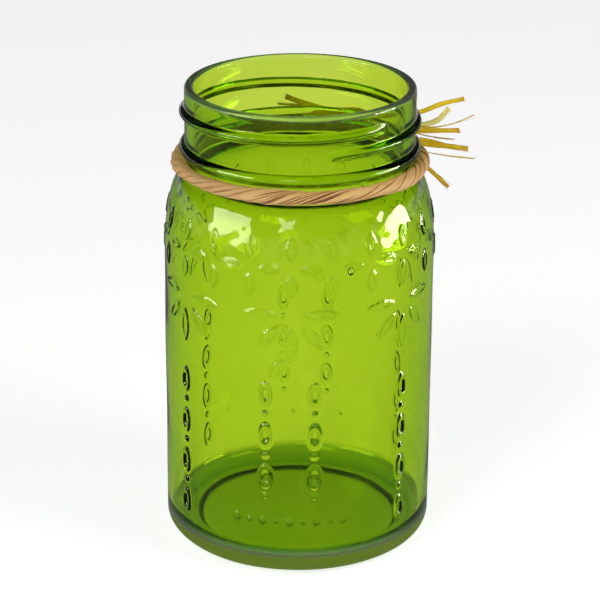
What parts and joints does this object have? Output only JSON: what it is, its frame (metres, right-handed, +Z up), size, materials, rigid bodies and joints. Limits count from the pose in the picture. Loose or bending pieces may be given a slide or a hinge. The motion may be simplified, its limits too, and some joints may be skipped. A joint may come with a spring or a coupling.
{
  "type": "mason jar",
  "caption": "Open wide-mouth screw-top glass jar, round body with sloped shoulder, and a twisted raffia tie knotted round its neck.",
  "frame": {"origin": "middle of the jar's base, on the plane it stands on", "axes": "+Z up the jar's axis to the rim; -Y is the front, where the thread starts and ends to the right; the tie's knot is at 52 degrees from +X towards +Y"},
  "size_m": [0.1134, 0.1025, 0.1695],
  "materials": {
    "green_glass": "clear lime-green pressed glass, glossy",
    "raffia": "dry twisted palm-leaf raffia, tan, matt",
    "raffia_golden": "dry raffia strand, golden, slight sheen",
    "raffia_pale": "dry raffia strand, pale straw, matt"
  },
  "bodies": {
    "jar": {"glass_jar": "green_glass"},
    "tie": {"raffia_wrap_1": "raffia", "raffia_wrap_2": "raffia", "raffia_wrap_3": "raffia", "raffia_wrap_4": "raffia", "raffia_wrap_5": "raffia", "raffia_knot": "raffia", "raffia_end_1": "raffia_golden", "raffia_end_2": "raffia_pale", "raffia_end_3": "raffia_golden", "raffia_end_4": "raffia_golden", "raffia_end_5": "raffia_golden", "raffia_end_6": "raffia_golden", "raffia_end_7": "raffia_golden", "raffia_end_8": "raffia_golden", "raffia_end_9": "raffia_golden", "raffia_end_10": "raffia_pale"}
  },
  "joints": [
    {"name": "tie_turn", "type": "hinge", "parent": "jar", "child": "tie", "pos_m": [0, 0, 0.14185], "axis": [0, 0, 1], "continuous": true}
  ]
}
